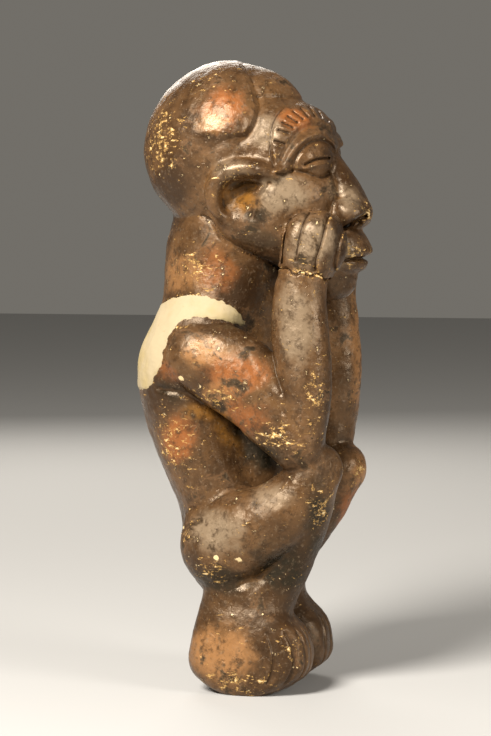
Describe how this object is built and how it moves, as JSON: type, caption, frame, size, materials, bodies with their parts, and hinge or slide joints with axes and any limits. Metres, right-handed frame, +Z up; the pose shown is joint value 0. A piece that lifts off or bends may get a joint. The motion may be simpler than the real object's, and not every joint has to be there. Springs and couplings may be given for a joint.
{
  "type": "carved doll",
  "caption": "Squatting carved wooden figure with its head in its hands and its elbows on its knees, under a worn dark patina, with a pale repair fill in one shoulder.",
  "frame": {"origin": "on the ground between the feet, under the middle of the figure", "axes": "+Z up, the figure looks along -Y and its right side is at -X"},
  "size_m": [0.0583, 0.0764, 0.1995],
  "materials": {
    "patina": "dark brown patina, satin where handled, rubbed and chipped to pale wood",
    "fill": "smooth matt cream repair paste"
  },
  "bodies": {
    "root": {"trunk": "patina", "head": "patina", "right_hand": "patina", "left_hand": "patina", "right_arm": "patina", "left_arm": "patina", "right_leg": "patina", "left_leg": "patina", "shoulder_fill": "fill"}
  },
  "joints": []
}
